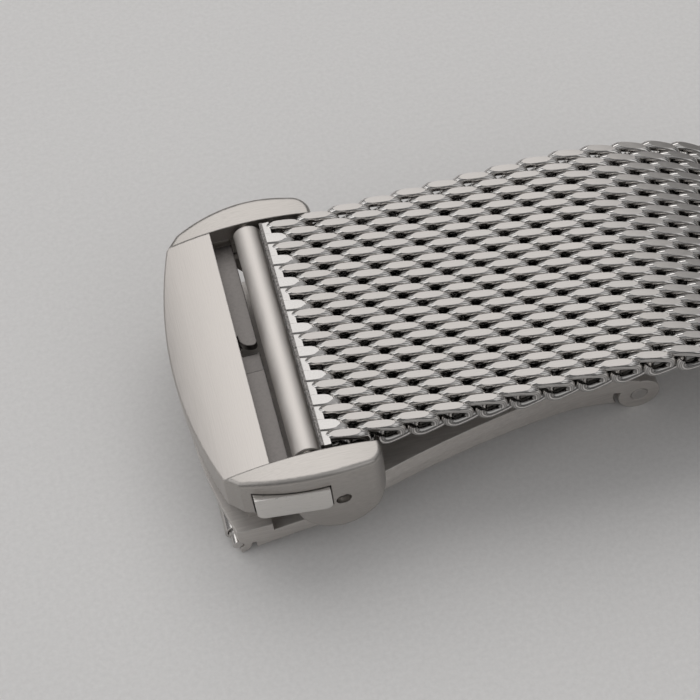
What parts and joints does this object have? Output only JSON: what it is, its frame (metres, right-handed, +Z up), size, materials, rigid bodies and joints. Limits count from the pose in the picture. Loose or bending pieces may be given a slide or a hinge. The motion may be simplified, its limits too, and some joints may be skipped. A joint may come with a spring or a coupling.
{
  "type": "milanese mesh watch band with folding clasp",
  "caption": "Woven steel mesh watch band on a folding clasp with two push buttons, hinged blades and spring bars.",
  "frame": {"origin": "on the table, under the middle of the overall length and in the middle plane of the mesh", "axes": "+X along the strand from the clasp to the lug end, +Y across it, +Z up"},
  "size_m": [0.0898, 0.0234, 0.0116],
  "materials": {
    "cover_steel": "satin, brushed across the strand",
    "mesh_steel": "polished wire, ground flat on its faces",
    "polished_steel": "polished",
    "blade_steel": "satin",
    "spring_steel": "plain drawn wire"
  },
  "bodies": {
    "clasp_cover": {"cover_frame": "cover_steel", "cover_hinge_pin": "polished_steel", "clasp_bar_barrel": "polished_steel", "clasp_bar_spring": "spring_steel", "latch_spring": "spring_steel"},
    "middle": {"middle_blade": "blade_steel", "fold_hinge_pin": "polished_steel"},
    "base": {"base_blade": "blade_steel", "catch_posts": "polished_steel", "blade_bar_barrel": "polished_steel", "blade_bar_spring": "spring_steel"},
    "push_button_near": {"push_button_near": "polished_steel"},
    "push_button_far": {"push_button_far": "polished_steel"},
    "strand_01": {"strand_end_tube": "cover_steel", "mesh_section_01": "mesh_steel"},
    "strand_02": {"mesh_section_02": "mesh_steel"},
    "strand_03": {"mesh_section_03": "mesh_steel"},
    "strand_04": {"mesh_section_04": "mesh_steel"},
    "strand_05": {"mesh_section_05": "mesh_steel"},
    "strand_06": {"mesh_section_06": "mesh_steel"},
    "strand_07": {"mesh_section_07": "mesh_steel"},
    "strand_08": {"mesh_section_08": "mesh_steel"},
    "strand_09": {"mesh_section_09": "mesh_steel"},
    "strand_10": {"mesh_section_10": "mesh_steel"},
    "strand_11": {"mesh_section_11": "mesh_steel"},
    "strand_12": {"mesh_section_12": "mesh_steel", "lug_end_tube": "cover_steel", "lug_bar_barrel": "polished_steel", "lug_bar_spring": "spring_steel"},
    "clasp_bar_tip_near": {"clasp_bar_tip_near": "polished_steel"},
    "clasp_bar_tip_far": {"clasp_bar_tip_far": "polished_steel"},
    "blade_bar_tip_near": {"blade_bar_tip_near": "polished_steel"},
    "blade_bar_tip_far": {"blade_bar_tip_far": "polished_steel"},
    "lug_bar_tip_near": {"lug_bar_tip_near": "polished_steel"},
    "lug_bar_tip_far": {"lug_bar_tip_far": "polished_steel"}
  },
  "joints": [
    {"name": "cover_hinge", "type": "hinge", "parent": "clasp_cover", "child": "middle", "pos_m": [-0.03614, 0, 0.00638], "axis": [0, 1, 0], "range_deg": [0, 90]},
    {"name": "fold_hinge", "type": "hinge", "parent": "middle", "child": "base", "pos_m": [-0.01397, 0, 0.00147], "axis": [0, -1, 0], "range_deg": [0, 160]},
    {"name": "push_button_near_slide", "type": "slide", "parent": "clasp_cover", "child": "push_button_near", "axis": [0, 1, 0], "range_m": [0, 0.0005], "stiffness_N_per_m": 300, "springref_m": -0.001, "deforming": ["latch_spring"]},
    {"name": "push_button_far_slide", "type": "slide", "parent": "clasp_cover", "child": "push_button_far", "axis": [0, -1, 0], "range_m": [0, 0.0005], "stiffness_N_per_m": 300, "springref_m": -0.001},
    {"name": "strand_hinge", "type": "hinge", "parent": "clasp_cover", "child": "strand_01", "pos_m": [-0.03796, 0, 0.00862], "axis": [0, 1, 0], "range_deg": [-70, 4]},
    {"name": "mesh_hinge_02", "type": "hinge", "parent": "strand_01", "child": "strand_02", "pos_m": [-0.02932, 0, 0.00935], "axis": [0, 1, 0], "range_deg": [-9, 9]},
    {"name": "mesh_hinge_03", "type": "hinge", "parent": "strand_02", "child": "strand_03", "pos_m": [-0.02275, 0, 0.00998], "axis": [0, 1, 0], "range_deg": [-9, 9]},
    {"name": "mesh_hinge_04", "type": "hinge", "parent": "strand_03", "child": "strand_04", "pos_m": [-0.01618, 0, 0.01055], "axis": [0, 1, 0], "range_deg": [-11.67, 6.33]},
    {"name": "mesh_hinge_05", "type": "hinge", "parent": "strand_04", "child": "strand_05", "pos_m": [-0.00964, 0, 0.0098], "axis": [0, 1, 0], "range_deg": [-11.67, 6.33]},
    {"name": "mesh_hinge_06", "type": "hinge", "parent": "strand_05", "child": "strand_06", "pos_m": [-0.00357, 0, 0.00727], "axis": [0, 1, 0], "range_deg": [-11.67, 6.33]},
    {"name": "mesh_hinge_07", "type": "hinge", "parent": "strand_06", "child": "strand_07", "pos_m": [0.00211, 0, 0.00392], "axis": [0, 1, 0], "range_deg": [-6.84, 11.16]},
    {"name": "mesh_hinge_08", "type": "hinge", "parent": "strand_07", "child": "strand_08", "pos_m": [0.00836, 0, 0.00184], "axis": [0, 1, 0], "range_deg": [-6.84, 11.16]},
    {"name": "mesh_hinge_09", "type": "hinge", "parent": "strand_08", "child": "strand_09", "pos_m": [0.01491, 0, 0.00122], "axis": [0, 1, 0], "range_deg": [-9, 9]},
    {"name": "mesh_hinge_10", "type": "hinge", "parent": "strand_09", "child": "strand_10", "pos_m": [0.02151, 0, 0.00122], "axis": [0, 1, 0], "range_deg": [-9, 9]},
    {"name": "mesh_hinge_11", "type": "hinge", "parent": "strand_10", "child": "strand_11", "pos_m": [0.02811, 0, 0.00122], "axis": [0, 1, 0], "range_deg": [-9, 9]},
    {"name": "mesh_hinge_12", "type": "hinge", "parent": "strand_11", "child": "strand_12", "pos_m": [0.03471, 0, 0.00122], "axis": [0, 1, 0], "range_deg": [-9, 9]},
    {"name": "clasp_bar_tip_near_slide", "type": "slide", "parent": "clasp_cover", "child": "clasp_bar_tip_near", "axis": [0, 1, 0], "range_m": [0, 0.0008], "stiffness_N_per_m": 150, "springref_m": -0.001, "deforming": ["clasp_bar_spring"]},
    {"name": "clasp_bar_tip_far_slide", "type": "slide", "parent": "clasp_cover", "child": "clasp_bar_tip_far", "axis": [0, -1, 0], "range_m": [0, 0.0008], "stiffness_N_per_m": 150, "springref_m": -0.001, "deforming": ["clasp_bar_spring"]},
    {"name": "blade_bar_tip_near_slide", "type": "slide", "parent": "base", "child": "blade_bar_tip_near", "axis": [0, 1, 0], "range_m": [0, 0.0008], "stiffness_N_per_m": 150, "springref_m": -0.001, "deforming": ["blade_bar_spring"]},
    {"name": "blade_bar_tip_far_slide", "type": "slide", "parent": "base", "child": "blade_bar_tip_far", "axis": [0, -1, 0], "range_m": [0, 0.0008], "stiffness_N_per_m": 150, "springref_m": -0.001, "deforming": ["blade_bar_spring"]},
    {"name": "lug_bar_tip_near_slide", "type": "slide", "parent": "strand_12", "child": "lug_bar_tip_near", "axis": [0, 1, 0], "range_m": [0, 0.0008], "stiffness_N_per_m": 150, "springref_m": -0.001, "deforming": ["lug_bar_spring"]},
    {"name": "lug_bar_tip_far_slide", "type": "slide", "parent": "strand_12", "child": "lug_bar_tip_far", "axis": [0, -1, 0], "range_m": [0, 0.0008], "stiffness_N_per_m": 150, "springref_m": -0.001, "deforming": ["lug_bar_spring"]}
  ],
  "couplings": [
    {"joint": "cover_hinge", "follows": "fold_hinge", "ratio": 0.5625}
  ]
}
